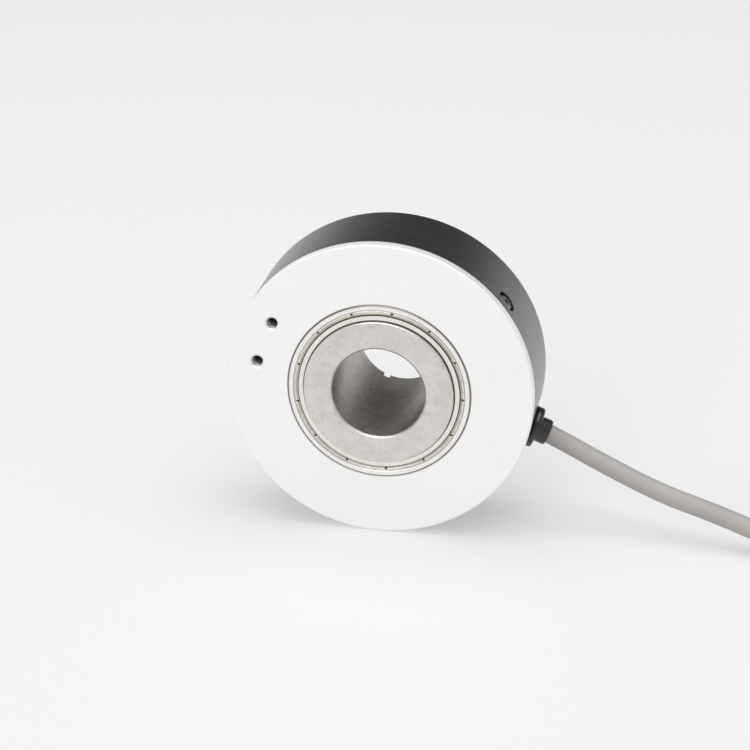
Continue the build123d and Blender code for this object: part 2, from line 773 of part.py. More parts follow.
def inner_leads():
    """The leads inside the housing, from the jacket to the socket on the board."""
    leads = []
    socket_angle = OPTICS_ANGLE - BOARD_HALF_ARC + 6
    for i in range(4):
        row = 1.3 * (i // 2)
        column = 1.3 * (i % 2)
        points = []
        for distance, angle, y in (
            (JACKET_INNER_END_R, EXIT_ANGLE, 19.9 - column),
            (37.6 - row * 0.5, EXIT_ANGLE + 0.5, 19.2 - column),
            (35.8 - row, EXIT_ANGLE + 10, 17.4 - column),
            (36.4 - row, EXIT_ANGLE + 30, 16.4 - column),
            (40.0 - row, socket_angle - 10, 16.6 - column),
            (41.2 - row, socket_angle, BOARD_Y - 3.6),
        ):
            a = math.radians(angle)
            z = distance * math.sin(a) + (row if distance == JACKET_INNER_END_R else 0.0)
            points.append((distance * math.cos(a), y, z))
        line = FilletPolyline(*points, radius=corner_radii(points))
        leads.append(sweep(Plane(origin=line @ 0, z_dir=line % 0) * Circle(0.55), path=line))
    return leads


# ---------------------------------------------------------------- all pieces

def main():
    os.makedirs("parts", exist_ok=True)
    save("front_flange", front_flange())
    save("rear_cover", rear_cover())
    save("cover_screws", cover_screws())
    save("cover_o_ring", cover_o_ring())
    save("dust_seal", dust_seal())
    save("bearing_circlip", bearing_circlip())
    for name, start in (("front", FRONT_BEARING_Y), ("rear", REAR_BEARING_Y)):
        save(f"{name}_bearing_outer_ring", bearing_outer_ring(start))
        save(f"{name}_bearing_inner_ring", bearing_inner_ring(start))
        save(f"{name}_bearing_balls", bearing_balls(start))
        save(f"{name}_bearing_cage", bearing_cage(start))
        save(f"{name}_bearing_front_shield", bearing_shield(start, True))
        save(f"{name}_bearing_back_shield", bearing_shield(start, False))
    save("bearing_spacer", bearing_spacer())
    save("hollow_shaft", hollow_shaft())
    save("shaft_circlip", shaft_circlip())
    save("clamp_ring", clamp_ring())
    save("clamp_ring_screw", clamp_ring_screw())
    save("disc_hub", disc_hub())
    save("code_disc", code_disc())
    save("disc_retainer", disc_retainer())
    save("disc_screws", disc_screws())
    save("light_source_holder", light_source_holder())
    save("holder_screws", holder_screws())
    save("light_source", light_source())
    save("reticle", reticle())
    save("light_sensor", light_sensor())
    save("circuit_board", circuit_board())
    save("board_chips", board_chips())
    save("board_posts", board_posts())
    save("board_screws", board_screws())
    save("lead_socket", lead_socket())
    save("cable_grommet", grommet())
    save("cable_tie", cable_tie())
    save("inner_leads", inner_leads())
    save("cable", cable())
    save("cable_coil", cable_coil())
    save("cable_tail", cable_tail())
    save("cable_end_sleeve", cable_end_sleeve())
    save("lead_wires", lead_wires())


main()
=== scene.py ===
"""A hollow-shaft rotary encoder on a pale floor: looks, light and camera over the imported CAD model."""

import math

import bpy
from mathutils import Matrix, Vector


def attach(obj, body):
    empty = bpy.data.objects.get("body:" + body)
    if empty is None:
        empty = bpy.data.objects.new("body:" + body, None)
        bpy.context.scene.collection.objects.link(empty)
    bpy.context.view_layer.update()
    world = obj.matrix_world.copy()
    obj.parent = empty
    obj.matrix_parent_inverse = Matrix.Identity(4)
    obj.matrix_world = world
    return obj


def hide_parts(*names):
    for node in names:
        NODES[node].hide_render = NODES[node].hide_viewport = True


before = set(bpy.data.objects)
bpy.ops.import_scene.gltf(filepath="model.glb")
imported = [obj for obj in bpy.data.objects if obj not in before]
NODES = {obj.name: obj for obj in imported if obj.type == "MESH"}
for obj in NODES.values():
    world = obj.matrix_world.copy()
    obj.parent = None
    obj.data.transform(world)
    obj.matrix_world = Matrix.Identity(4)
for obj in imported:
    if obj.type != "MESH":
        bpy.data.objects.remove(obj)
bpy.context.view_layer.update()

MM = 0.001

# ---- the object's own places, in mm ----
RIM_R = 46.0
JOINT_Y = 3.4
SEAT_MOUTH_R = 27.7
BORE_R = 14.05
ARM_HOLES_R = 37.4
ARM_HOLE_REACH = 2.2
ARM_HOLES = [("arm_hole_upper_thread", 149.1), ("arm_hole_lower_thread", 169.6)]
FLOOR_Z = -RIM_R

# ---- cable, in mm ----
CABLE_R = 2.9
EXIT_ANGLE = -21.0
EXIT_Y = 20.7
EXIT_R = 52.0
START_R = EXIT_R - 6.0
LYING_Z = FLOOR_Z + CABLE_R
COIL_X = 152.0
COIL_Y = 36.4
OUTER_TURN_R = 33.5
INNER_TURN_R = OUTER_TURN_R - 2 * CABLE_R
# the points between the exit and the coil
CABLE_ROUTE = [
    (67.0, 17.8, -26.7),
    (84.0, 13.2, -32.2),
    (98.0, 10.0, -34.9),
    (112.0, 7.0, -38.5),
    (126.0, 4.2, -43.1),
    (140.0, 2.6, -43.1),
    (152.0, 2.9, -43.1),
]
COIL_START = -90
COIL_END = 1494
COIL_STEP = 18
TOP_R = (OUTER_TURN_R + INNER_TURN_R) / 2
SIDE_BY_SIDE = 2 * CABLE_R
NESTED = SIDE_BY_SIDE * math.sqrt(3) / 2
# where a turn moves on, in degrees along the coil, how far out it moves and how far up
TURN_CHANGES = [
    (225, 270, INNER_TURN_R - OUTER_TURN_R, 0.0),
    (540, 585, 0.0, SIDE_BY_SIDE),
    (855, 900, OUTER_TURN_R - INNER_TURN_R, 0.0),
    (1170, 1215, TOP_R - OUTER_TURN_R, NESTED),
]
END_LIFT = 0.4

# ---- camera: angles in degrees, lens and sensor in mm, the rest in metres ----
CAMERA_AZIMUTH = 10.87
CAMERA_ELEVATION = 23.60
CAMERA_DISTANCE = 14.841 * RIM_R * MM
CAMERA_RIGHT = 0.02372 * RIM_R * MM
CAMERA_UP = 0.10811 * RIM_R * MM
CAMERA_LENS = 111.08
CAMERA_SENSOR = 36.0
CAMERA_NEAR = 0.01


# ---------------------------------------------------------------- shader building

class Look:
    """A node material with one principled surface, and short names for the nodes that feed it."""

    def __init__(self, name, metallic=0.0, specular=0.5, coat=0.0, coat_roughness=0.1, ior=1.45):
        self.material = bpy.data.materials.new(name)
        self.material.use_nodes = True
        self.tree = self.material.node_tree
        self.shader = self.tree.nodes["Principled BSDF"]
        self.shader.inputs["Metallic"].default_value = metallic
        self.shader.inputs["Specular IOR Level"].default_value = specular
        self.shader.inputs["Coat Weight"].default_value = coat
        self.shader.inputs["Coat Roughness"].default_value = coat_roughness
        self.shader.inputs["IOR"].default_value = ior
        self.place = self.add("ShaderNodeTexCoord").outputs["Object"]
        self.height = None

    def add(self, kind, **settings):
        """A new node of this kind, with its own settings."""
        node = self.tree.nodes.new(kind)
        for key, value in settings.items():
            setattr(node, key, value)
        return node

    def link(self, value, socket):
        """Feeds a socket from another socket, or sets it to a plain value."""
        if isinstance(value, bpy.types.NodeSocket):
            self.tree.links.new(value, socket)
        else:
            socket.default_value = value

    def stretched(self, x, y, z):
        """The object's own coordinates, scaled unevenly."""
        node = self.add("ShaderNodeMapping")
        self.link(self.place, node.inputs["Vector"])
        node.inputs["Scale"].default_value = (x, y, z)
        return node.outputs["Vector"]

    def noise(self, per_mm, detail=4.0, rough=0.55, place=None):
        """Cloudy noise with about per_mm blotches in each millimetre."""
        node = self.add("ShaderNodeTexNoise")
        self.link(place or self.place, node.inputs["Vector"])
        node.inputs["Scale"].default_value = per_mm / MM
        node.inputs["Detail"].default_value = detail
        node.inputs["Roughness"].default_value = rough
        return node.outputs["Fac"]

    def cells(self, per_mm):
        """The distance to the nearest of many scattered points, for round pits and specks."""
        node = self.add("ShaderNodeTexVoronoi")
        self.link(self.place, node.inputs["Vector"])
        node.inputs["Scale"].default_value = per_mm / MM
        return node.outputs["Distance"]

    def wave(self, kind, per_mm, distortion, detail_scale):
        """Fine marks: bands along the bore axis or rings round it."""
        node = self.add("ShaderNodeTexWave", wave_type=kind)
        if kind == "BANDS":
            node.bands_direction = "Y"
        else:
            node.rings_direction = "Y"
        self.link(self.place, node.inputs["Vector"])
        node.inputs["Scale"].default_value = per_mm / MM * math.pi / 10
        node.inputs["Distortion"].default_value = distortion
        node.inputs["Detail"].default_value = 3.0
        node.inputs["Detail Scale"].default_value = detail_scale
        return node.outputs["Fac"]

    def math(self, operation, a, b=0.0):
        """One sum, product or function of sockets or plain numbers."""
        node = self.add("ShaderNodeMath", operation=operation)
        self.link(a, node.inputs[0])
        self.link(b, node.inputs[1])
        return node.outputs[0]

    def axis(self, name):
        """One object coordinate, in metres."""
        node = self.add("ShaderNodeSeparateXYZ")
        self.link(self.place, node.inputs[0])
        return node.outputs[name]

    def radius(self):
        """The distance from the bore axis, in metres."""
        x = self.axis("X")
        z = self.axis("Z")
        x_squared = self.math("MULTIPLY", x, x)
        return self.math("SQRT", self.math("ADD", x_squared, self.math("MULTIPLY", z, z)))

    def remap(self, value, low, high, to_low=0.0, to_high=1.0):
        """value's stretch from low to high, spread over to_low to to_high and clamped."""
        node = self.add("ShaderNodeMapRange", interpolation_type="SMOOTHSTEP")
        ends = {"From Min": low, "From Max": high, "To Min": to_low, "To Max": to_high}
        for key, number in ends.items():
            node.inputs[key].default_value = number
        self.link(value, node.inputs["Value"])
        return node.outputs["Result"]

    def band(self, value, low, high, soft):
        """1 where value lies between low and high, with soft edges."""
        up = self.remap(value, low - soft, low + soft)
        down = self.remap(value, high - soft, high + soft, 1.0, 0.0)
        return self.math("MULTIPLY", up, down)

    def mix(self, mask, a, b):
        """Colour a where mask is 0 and b where it is 1."""
        node = self.add("ShaderNodeMix", data_type="RGBA")
        self.link(mask, node.inputs["Factor"])
        self.link(a, node.inputs["A"])
        self.link(b, node.inputs["B"])
        return node.outputs["Result"]

    def colour(self, value):
        self.link(value, self.shader.inputs["Base Color"])

    def rough(self, value):
        self.link(value, self.shader.inputs["Roughness"])

    def bump(self, height, depth_mm):
        """Adds one layer of relief over the layers before it."""
        node = self.add("ShaderNodeBump")
        node.inputs["Strength"].default_value = 1.0
        node.inputs["Distance"].default_value = depth_mm * MM
        self.link(height, node.inputs["Height"])
        if self.height is not None:
            self.link(self.height, node.inputs["Normal"])
        self.height = node.outputs["Normal"]
        self.link(self.height, self.shader.inputs["Normal"])


def grey(level, tint=(1.0, 1.0, 1.0)):
    """A linear colour from a brightness and a slight tint."""
    return tuple(level * t for t in tint) + (1.0,)


WARM = (1.03, 1.0, 0.965)
COOL = (0.985, 1.0, 1.015)
PINK = (1.04, 1.0, 0.975)
BROWN = (1.25, 1.0, 0.76)
OLIVE = (1.04, 1.05, 0.88)
RED = (1.5, 0.22, 0.16)
BRASS = (1.2, 0.95, 0.5)
BOARD_GREEN = (0.3, 1.0, 0.45)
STRAW = (1.02, 1.0, 0.93)
JACKET = (1.05, 1.0, 0.965)
MARK_DEPTH = 0.004


def satin_metal(name, light, dark, tint, rough, turned="RINGS", marks=6.0, speckle=0.0):
    """Turned or ground metal: fine tool marks, faint stains, small dark specks."""
    look = Look(name, metallic=1.0)
    stain = look.remap(look.noise(0.12, 6.0, 0.65), 0.35, 0.7)
    fine = look.noise(2.2, 5.0, 0.7)
    tone = look.mix(stain, grey(light, tint), grey(dark, tint))
    specks = look.remap(look.noise(1.6, 7.0, 0.8), 0.60, 0.72)
    specks = look.math("MULTIPLY", specks, speckle)
    look.colour(look.mix(specks, tone, grey(dark * 0.45, BROWN)))
    marks_height = look.wave(turned, marks, 1.2, 3.0)
    uneven = look.remap(fine, 0.3, 0.75, -0.05, 0.07)
    look.rough(look.math("ADD", uneven, look.remap(stain, 0, 1, rough, rough + 0.06)))
    look.bump(marks_height, MARK_DEPTH)
    look.bump(fine, MARK_DEPTH * 1.5)
    return look


def flange_face():
    """Satin silver, almost white, with faint grain and pits; painted shade darkens its seat and the depths
    of its tapped holes, and its joint is dark.
    """
    look = Look("flange aluminium", metallic=0.35)
    cloud = look.remap(look.noise(0.05, 5.0, 0.6), 0.3, 0.7)
    grain = look.noise(3.0, 4.0, 0.7)
    tone = look.mix(cloud, grey(0.865), grey(0.85, (1.004, 1.0, 0.992)))
    pits = look.remap(look.cells(0.55), 0.035, 0.015)
    pits = look.math("MULTIPLY", pits, look.remap(look.noise(0.2), 0.5, 0.62))
    tone = look.mix(look.math("MULTIPLY", pits, 0.35), tone, grey(0.4, BROWN))
    # painted shade: the flange inside the bearing seat's mouth is darkened towards brown-grey
    inside = look.band(look.radius(), 0.0, SEAT_MOUTH_R * MM, 0.0002)
    tone = look.mix(look.math("MULTIPLY", inside, 0.6), tone, grey(0.16, BROWN))
    # painted shade: the tapped holes' walls darken from 0.6 to 1.6 mm in
    nearest = (ARM_HOLES_R - ARM_HOLE_REACH) * MM
    farthest = (ARM_HOLES_R + ARM_HOLE_REACH) * MM
    in_holes = look.band(look.radius(), nearest, farthest, 0.0001)
    in_holes = look.math("MULTIPLY", in_holes, look.remap(look.axis("Y"), 0.0006, 0.0016))
    tone = look.mix(look.math("MULTIPLY", in_holes, 0.8), tone, grey(0.12))
    joint = look.remap(look.axis("Y"), (JOINT_Y - 0.28) * MM, (JOINT_Y - 0.18) * MM)
    look.colour(look.mix(joint, tone, grey(0.03)))
    uneven = look.remap(grain, 0.3, 0.7, 0.30, 0.40)
    look.rough(look.math("ADD", uneven, look.remap(cloud, 0, 1, 0.0, 0.05)))
    look.bump(look.wave("RINGS", 5.0, 0.8, 4.0), 0.003)
    look.bump(grain, 0.006)
    return look


def black_cover():
    """Satin black anodised aluminium with faint turning lines, dust and light scuffs."""
    look = Look("black anodised", specular=1.0, ior=1.7)
    cloud = look.remap(look.noise(0.07, 5.0, 0.65), 0.3, 0.7)
    fine = look.noise(1.8, 5.0, 0.7)
    scuff = look.noise(0.5, 8.0, 0.75, look.stretched(0.35, 3.0, 0.35))
    scuff = look.remap(scuff, 0.62, 0.74)
    tone = look.mix(cloud, grey(0.009, OLIVE), grey(0.014, OLIVE))
    look.colour(look.mix(look.math("MULTIPLY", scuff, 0.25), tone, grey(0.09, WARM)))
    gap = look.remap(look.axis("Y"), (JOINT_Y + 0.15) * MM, (JOINT_Y + 0.25) * MM, 0.5, 0.0)
    wear = look.math("ADD", gap, look.math("MULTIPLY", scuff, 0.1))
    look.rough(look.math("ADD", look.remap(fine, 0.3, 0.75, 0.20, 0.29), wear))
    look.bump(look.wave("BANDS", 4.0, 0.6, 3.0), 0.004)
    look.bump(fine, 0.006)
    return look


def shaft_metal():
    """Warm grey bare steel, mottled with dark specks and brown stains; the bore darker with tool marks,
    partly its own darker, rusty finish and partly painted shade inside the bore.
    """
    look = Look("shaft steel", metallic=1.0)
    stain = look.remap(look.noise(0.16, 7.0, 0.7), 0.42, 0.66)
    fine = look.noise(1.4, 6.0, 0.75)
    tone = look.mix(stain, grey(0.67, WARM), grey(0.59, (1.04, 1.0, 0.94)))
    specks = look.remap(look.cells(0.5), 0.12, 0.07)
    specks = look.math("MULTIPLY", specks, look.remap(look.noise(0.22), 0.42, 0.56))
    tone = look.mix(look.math("MULTIPLY", specks, 0.75), tone, grey(0.10, BROWN))
    rust = look.remap(look.noise(0.9, 8.0, 0.8, look.stretched(0.5, 1.0, 0.5)), 0.53, 0.66)
    tone = look.mix(look.math("MULTIPLY", rust, 0.35), tone, (0.40, 0.29, 0.25, 1.0))
    # the bore's tones are darker: partly the steel's own finish and rust, partly painted shade inside the
    # bore
    in_bore = look.remap(look.radius(), BORE_R * MM, (BORE_R + 0.2) * MM, 1.0, 0.0)
    streaks = look.noise(0.35, 5.0, 0.7, look.stretched(1.0, 5.0, 1.0))
    bore = look.mix(look.remap(streaks, 0.35, 0.65), grey(0.58, WARM), grey(0.38, (1.1, 1.0, 0.88)))
    bore = look.mix(look.math("MULTIPLY", rust, 0.6), bore, (0.26, 0.15, 0.12, 1.0))
    look.colour(look.mix(in_bore, tone, bore))
    look.rough(look.remap(fine, 0.3, 0.75, 0.36, 0.50))
    look.bump(look.wave("BANDS", 3.2, 0.1, 1.0), 0.0025)
    look.bump(look.wave("RINGS", 4.5, 0.2, 1.0), 0.002)
    look.bump(fine, 0.007)
    return look


def ring_metal(name, light, tint, line_r=None, gap_r=None):
    """Ground bearing steel with fine rings; painted shade of the gaps beside it outside line_r and inside
    gap_r, if given.
    """
    look = Look(name, metallic=0.9)
    stain = look.remap(look.noise(0.3, 6.0, 0.65), 0.4, 0.7)
    tone = look.mix(stain, grey(light, tint), grey(light * 0.93, tint))
    specks = look.remap(look.noise(1.3, 7.0, 0.8), 0.63, 0.7)
    tone = look.mix(look.math("MULTIPLY", specks, 0.15), tone, grey(0.2, BROWN))
    if line_r:
        # painted shade: the gap at the ring's outer edge, darkened outside line_r
        rim = look.remap(look.radius(), line_r * MM - 0.0001, line_r * MM + 0.0001)
        tone = look.mix(look.math("MULTIPLY", rim, 0.85), tone, grey(0.10, BROWN))
    if gap_r:
        # painted shade: the gap by the shaft, darkened inside gap_r
        gap = look.remap(look.radius(), gap_r * MM - 0.0001, gap_r * MM + 0.0001, 1.0, 0.0)
        tone = look.mix(look.math("MULTIPLY", gap, 0.92), tone, grey(0.03, BROWN))
    look.colour(tone)
    look.rough(look.remap(look.noise(2.0, 4.0, 0.6), 0.3, 0.7, 0.26, 0.36))
    look.bump(look.wave("RINGS", 7.0, 0.6, 3.0), 0.003)
    return look


SHIELD_GREEN_R = 24.85
SHIELD_BRIGHT_R = 25.00
# where a thin line of painted shade lies on the shield's inner lip
SHIELD_LINE_R = (24.32, 24.46)


def shield_metal():
    """Zinc-plated pressed steel: yellow-green inside, bright outside, a thin line of painted shade
    innermost, by the gap to the inner ring.
    """
    look = Look("zinc shield", metallic=0.85)
    radius = look.radius()
    cloud = look.remap(look.noise(0.4, 6.0, 0.7), 0.35, 0.68)
    green = look.mix(cloud, (0.47, 0.47, 0.35, 1.0), (0.36, 0.36, 0.25, 1.0))
    bright = look.mix(cloud, grey(0.74, PINK), grey(0.62, WARM))
    outside = look.remap(radius, SHIELD_GREEN_R * MM, SHIELD_BRIGHT_R * MM)
    tone = look.mix(outside, green, bright)
    specks = look.remap(look.noise(1.5, 7.0, 0.8), 0.58, 0.68)
    tone = look.mix(look.math("MULTIPLY", specks, 0.3), tone, grey(0.1, BROWN))
    # painted shade: a thin dark line by the gap to the inner ring
    line = look.band(radius, SHIELD_LINE_R[0] * MM, SHIELD_LINE_R[1] * MM, 0.00006)
    look.colour(look.mix(line, tone, grey(0.05, BROWN)))
    look.rough(look.remap(look.noise(1.7, 5.0, 0.7), 0.3, 0.75, 0.30, 0.46))
    look.bump(look.noise(1.2, 6.0, 0.7), 0.012)
    return look


def notch_shadow():
    """The floor of a crimp notch, painted dark as shade in the dent."""
    look = Look("crimp notch", metallic=0.5)
    look.colour(look.mix(look.noise(2.5), grey(0.035, BROWN), grey(0.10, BROWN)))
    look.rough(look.remap(look.noise(3.0), 0.3, 0.7, 0.5, 0.7))
    look.bump(look.noise(2.0), 0.01)
    return look


def polymer(name, light, dark, tint, rough, specular=0.5, coat=0.0, grain=0.8, depth=0.01, spots=0.0):
    """Rubber or plastic: two close tones, uneven gloss, fine relief and perhaps handling marks."""
    look = Look(name, specular=specular, coat=coat, coat_roughness=0.18)
    cloud = look.remap(look.noise(0.1, 5.0, 0.6), 0.3, 0.7)
    fine = look.noise(grain, 5.0, 0.65)
    tone = look.mix(cloud, grey(light, tint), grey(dark, tint))
    marks = look.math("MULTIPLY", look.remap(look.noise(0.45, 7.0, 0.75), 0.6, 0.72), spots)
    look.colour(look.mix(marks, tone, grey(dark * 0.55, BROWN)))
    look.rough(look.remap(fine, 0.3, 0.7, rough - 0.06, rough + 0.08))
    look.bump(fine, depth)
    return look


def glassy(name, tint):
    """Clear glass or resin with faint dust and a smeared gloss."""
    look = Look(name, ior=1.5)
    look.shader.inputs["Transmission Weight"].default_value = 0.92
    look.colour(look.mix(look.noise(0.4), grey(0.92, tint), grey(0.8, tint)))
    look.rough(look.remap(look.noise(0.8), 0.3, 0.7, 0.02, 0.12))
    look.bump(look.noise(1.0), 0.003)
    return look


CODE_LINES = 256.0
CODE_TRACK_R = (33.8, 36.8)


def code_disc_glass():
    """The glass disc with its ring of fine dark lines."""
    look = Look("code disc", ior=1.5)
    look.shader.inputs["Transmission Weight"].default_value = 0.85
    angle = look.math("ARCTAN2", look.axis("X"), look.axis("Z"))
    lines = look.math("SINE", look.math("MULTIPLY", angle, CODE_LINES))
    track = look.band(look.radius(), CODE_TRACK_R[0] * MM, CODE_TRACK_R[1] * MM, 0.00005)
    track = look.math("MULTIPLY", look.remap(lines, -0.1, 0.1), track)
    glass = look.mix(look.noise(0.3), grey(0.9, COOL), grey(0.82, COOL))
    look.colour(look.mix(track, glass, grey(0.03)))
    look.rough(look.remap(look.noise(0.8), 0.3, 0.7, 0.03, 0.12))
    look.bump(look.noise(1.0), 0.002)
    return look


# ---------------------------------------------------------------- meshes

def mesh_object(name, points, faces, look, body, smooth=True):
    """A piece from points in mm, riding on a body."""
    mesh = bpy.data.meshes.new(name)
    mesh.from_pydata([Vector(p) * MM for p in points], [], faces)
    mesh.validate()
    for polygon in mesh.polygons:
        polygon.use_smooth = smooth
    mesh.materials.append(look.material)
    piece = bpy.data.objects.new(name, mesh)
    bpy.context.scene.collection.objects.link(piece)
    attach(piece, body)
    return piece


def on_axis(distance, angle, y):
    """A point at a distance from the bore axis and an angle from +X towards +Z."""
    return (distance * math.cos(angle), y, distance * math.sin(angle))


NOTCH_COUNT = 13
NOTCH_FIRST = math.radians(164.2)
NOTCH_HALF_WIDTH = 0.38
NOTCH_DEPTH = 0.42
NOTCH_INNER_R = 24.7
NOTCH_OUTER_R = 25.6
NOTCH_PRESSED = 0.1
SHIELD_STEPS = NOTCH_COUNT * 96
# distance from the bore axis and depth behind the front face
SHIELD_PROFILE = [
    (24.28, 0.50),
    (24.28, 0.24),
    (24.36, 0.15),
    (24.72, 0.14),
    (24.90, 0.17),
    (24.97, 0.30),
    (25.04, 0.12),
    (25.12, 0.05),
    (25.50, 0.06),
    (25.66, 0.16),
    (25.74, 0.40),
]


def notch_press(angle, distance):
    """How deep the crimping tool has pushed the shield in at this angle, in mm."""
    pitch = 2 * math.pi / NOTCH_COUNT
    off = (angle - NOTCH_FIRST + pitch / 2) % pitch - pitch / 2
    across = abs(off) * distance / NOTCH_HALF_WIDTH
    in_notch = across < 1 and NOTCH_INNER_R < distance < NOTCH_OUTER_R
    return NOTCH_DEPTH * (1.0 - across**4) if in_notch else 0.0


def crimped_shield():
    """The front shield: a pressed profile round the bearing, pushed in at evenly spaced notches."""
    points, faces, pressed = [], [], []
    for i in range(SHIELD_STEPS):
        angle = 2 * math.pi * i / SHIELD_STEPS
        for distance, y in SHIELD_PROFILE:
            press = notch_press(angle, distance)
            points.append(on_axis(distance, angle, y + press))
            pressed.append(press > NOTCH_PRESSED)
    rows = len(SHIELD_PROFILE)
    for i in range(SHIELD_STEPS):
        for j in range(rows - 1):
            a = i * rows + j
            b = (i + 1) % SHIELD_STEPS * rows + j
            faces.append((a, b, b + 1, a + 1))
    look = shield_metal()
    piece = mesh_object("front_shield_crimped", points, faces, look, "housing")
    # the pressed notch faces get the painted shade
    piece.data.materials.append(notch_shadow().material)
    for polygon in piece.data.polygons:
        if all(pressed[v] for v in polygon.vertices):
            polygon.material_index = 1
    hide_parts("front_bearing_front_shield")


THREAD_PITCH = 0.7
THREAD_CREST_R = 1.50
THREAD_ROOT_R = 1.72
THREAD_START_Y = 0.7
THREAD_TURNS = 11
THREAD_STEPS = 36
THREAD_FADE = 1.5
# distance from the hole's axis and place along it
THREAD_PROFILE = [
    (THREAD_ROOT_R, 0.0),
    (THREAD_CREST_R, 0.26),
    (THREAD_CREST_R, 0.36),
    (THREAD_ROOT_R, 0.62),
]


def tapped_thread(name, angle, look):
    """The screw thread on a tapped hole's wall, as a ridge that winds down the hole."""
    centre_x, _, centre_z = on_axis(ARM_HOLES_R, math.radians(angle), 0.0)
    points, faces = [], []
    for i in range(THREAD_TURNS * THREAD_STEPS + 1):
        turn = 2 * math.pi * i / THREAD_STEPS
        fade = min(1.0, i / THREAD_STEPS * THREAD_FADE)
        for distance, along in THREAD_PROFILE:
            r = THREAD_ROOT_R + (distance - THREAD_ROOT_R) * fade
            y = THREAD_START_Y + THREAD_PITCH * i / THREAD_STEPS + along
            points.append((centre_x + r * math.cos(turn), y, centre_z + r * math.sin(turn)))
    rows = len(THREAD_PROFILE)
    for i in range(THREAD_TURNS * THREAD_STEPS):
        for j in range(rows - 1):
            a = i * rows + j
            faces.append((a, a + rows, a + rows + 1, a + 1))
    mesh_object(name, points, faces, look, "housing", smooth=False)


GROMMET_STEPS = 96
# distance from the bore axis along the exit and radius round it
GROMMET_PROFILE = [
    (41.8, 2.9),
    (41.8, 4.8),
    (42.0, 5.0),
    (43.2, 5.0),
    (43.2, 4.2),
    (45.3, 4.2),
    (45.3, 6.30),
    (47.55, 6.35),
    (48.05, 6.22),
    (48.32, 5.95),
    (48.40, 5.6),
    (48.40, 4.35),
    (48.55, 4.05),
    (48.9, 3.95),
    (51.2, 3.95),
    (51.7, 3.82),
    (51.95, 3.5),
    (51.9, 2.9),
]


def moulded_grommet(look):
    """The grommet as one smooth moulding round the exit axis, with rounded lips."""
    angle = math.radians(EXIT_ANGLE)
    outward = Vector((math.cos(angle), 0.0, math.sin(angle)))
    along_bore = Vector((0.0, 1.0, 0.0))
    across = outward.cross(along_bore)
    points, faces = [], []
    for i in range(GROMMET_STEPS):
        turn = 2 * math.pi * i / GROMMET_STEPS
        side = along_bore * math.cos(turn) + across * math.sin(turn)
        for reach, r in GROMMET_PROFILE:
            points.append(outward * reach + side * r + along_bore * EXIT_Y)
    rows = len(GROMMET_PROFILE)
    for i in range(GROMMET_STEPS):
        for j in range(rows - 1):
            a = i * rows + j
            b = (i + 1) % GROMMET_STEPS * rows + j
            faces.append((a, a + 1, b + 1, b))
    piece = mesh_object("grommet_moulded", points, faces, look, "housing")
    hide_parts("cable_grommet")


# ---------------------------------------------------------------- cable

def smooth_share(value, low, high):
    """0 before low, 1 after high, eased in between."""
    share = min(1.0, max(0.0, (value - low) / (high - low)))
    return share * share * (3 - 2 * share)


def round_coil(distance, angle, z):
    """A point at a distance and an angle, in degrees, from the coil's upright axis."""
    turn = math.radians(angle)
    return (COIL_X + distance * math.cos(turn), COIL_Y + distance * math.sin(turn), z)


def coil_point(along):
    """The cable's centre at an angle along the coil, counted through all the turns."""
    distance, height = OUTER_TURN_R, LYING_Z
    for start, end, outward, upward in TURN_CHANGES:
        share = smooth_share(along, start, end)
        distance += share * outward
        height += share * upward
    if along < COIL_END - COIL_STEP:
        distance /= math.cos(math.radians(COIL_STEP / 2))
    else:
        height += END_LIFT
    return round_coil(distance, along, height)


def smooth_tube(name, points, radius, look, taper=None):
    """A round tube on one smooth spline that starts and ends at its first and last points."""
    curve = bpy.data.curves.new(name, "CURVE")
    curve.dimensions = "3D"
    spline = curve.splines.new("NURBS")
    spline.points.add(len(points) - 1)
    for i, (point, place) in enumerate(zip(spline.points, points)):
        point.co = (place[0] * MM, place[1] * MM, place[2] * MM, 1.0)
        point.radius = taper[i] if taper else 1.0
    spline.order_u = 3
    spline.use_endpoint_u = True
    spline.resolution_u = 12
    curve.bevel_depth = radius * MM
    curve.bevel_resolution = 8
    curve.use_fill_caps = True
    curve.materials.append(look.material)
    piece = bpy.data.objects.new(name, curve)
    bpy.context.scene.collection.objects.link(piece)
    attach(piece, "housing")
    return piece


LEAD_R = 0.65
LEAD_PITCH_R = 1.7
LEAD_SPREAD = 2.1
LEAD_INSET = 2.0
LEAD_STRAIGHT = 3.5
# the share of a lead's spread, the degrees on from the cable's end, and the lift over its far end
LEAD_FAN = [
    (0.6, 16, 0.6),
    (0.9, 29, 0.0),
]
# the leads' far ends, in degrees on from the cable's end; every other lead is a little shorter
LEAD_REACH = 44.0
LEAD_STAGGER = 3
LEAD_CLEARANCE = 0.05
LEAD_Z = FLOOR_Z + 2 * SIDE_BY_SIDE + LEAD_R + LEAD_CLEARANCE
TIP_R = 0.34
TIP_STEPS = (-0.5, 1.0, 2.4, 3.0)
TIP_TAPER = (1, 1, 0.95, 0.5)
LEAD_TINTS = [
    ("red", 0.28, (1.5, 0.14, 0.10)),
    ("black", 0.02, (1.0, 1.0, 1.0)),
    ("white", 0.75, (1.0, 0.99, 0.95)),
    ("green", 0.16, (0.25, 1.0, 0.35)),
    ("yellow", 0.50, (1.4, 1.0, 0.08)),
]


